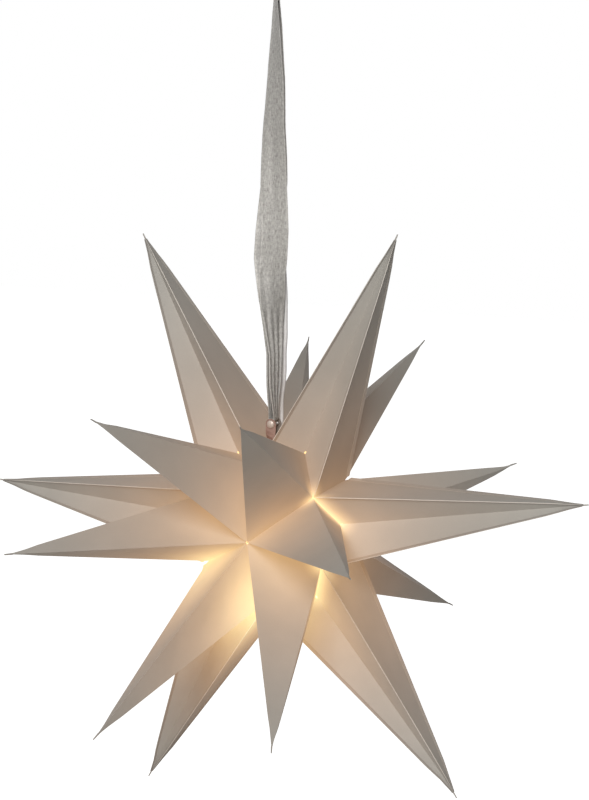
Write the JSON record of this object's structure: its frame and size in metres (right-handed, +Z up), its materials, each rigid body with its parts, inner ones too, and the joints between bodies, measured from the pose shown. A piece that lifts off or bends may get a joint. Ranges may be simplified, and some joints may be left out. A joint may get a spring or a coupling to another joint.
{
  "type": "hanging paper star lamp",
  "caption": "Pale taupe folded paper star with long hollow spikes, lit from inside, hung on a doubled sheer ribbon with its lamp cord behind it.",
  "frame": {"origin": "top of the ribbon's hanging loop, straight above the star's centre", "axes": "+Z up along the ribbon; the star's axis runs along Y with its front towards -Y; +X to the right seen from the front"},
  "size_m": [0.5961, 0.4644, 0.9215],
  "materials": {
    "star_paper": "matt coated card, warm glow from inside",
    "tab_paper": "matt card",
    "hanger_metal": "satin",
    "ribbon_fabric": "sheer, with metal thread",
    "white_plastic": "satin",
    "brass_contact": "bright",
    "bulb_glass": "frosted",
    "cord_plastic": "smooth sheath",
    "tie_fabric": "woven hook-and-loop strap",
    "plug_plastic": "moulded",
    "pin_metal": "nickel plated"
  },
  "bodies": {
    "root": {"segment_1": "star_paper", "segment_2": "star_paper", "segment_3": "star_paper", "segment_4": "star_paper", "segment_5": "star_paper", "segment_6": "star_paper", "front_tab": "tab_paper", "rear_tab": "tab_paper", "hanger_barrel": "hanger_metal", "hanger_screw": "hanger_metal", "ribbon": "ribbon_fabric", "cord_grip": "white_plastic", "holder_top": "white_plastic", "holder_body": "white_plastic", "screw_sleeve": "brass_contact", "centre_contact": "brass_contact", "bulb": "bulb_glass", "lamp_cord": "cord_plastic", "cord_coil": "cord_plastic", "cord_tie": "tie_fabric", "plug_body": "plug_plastic", "plug_pins": "pin_metal"}
  },
  "joints": []
}
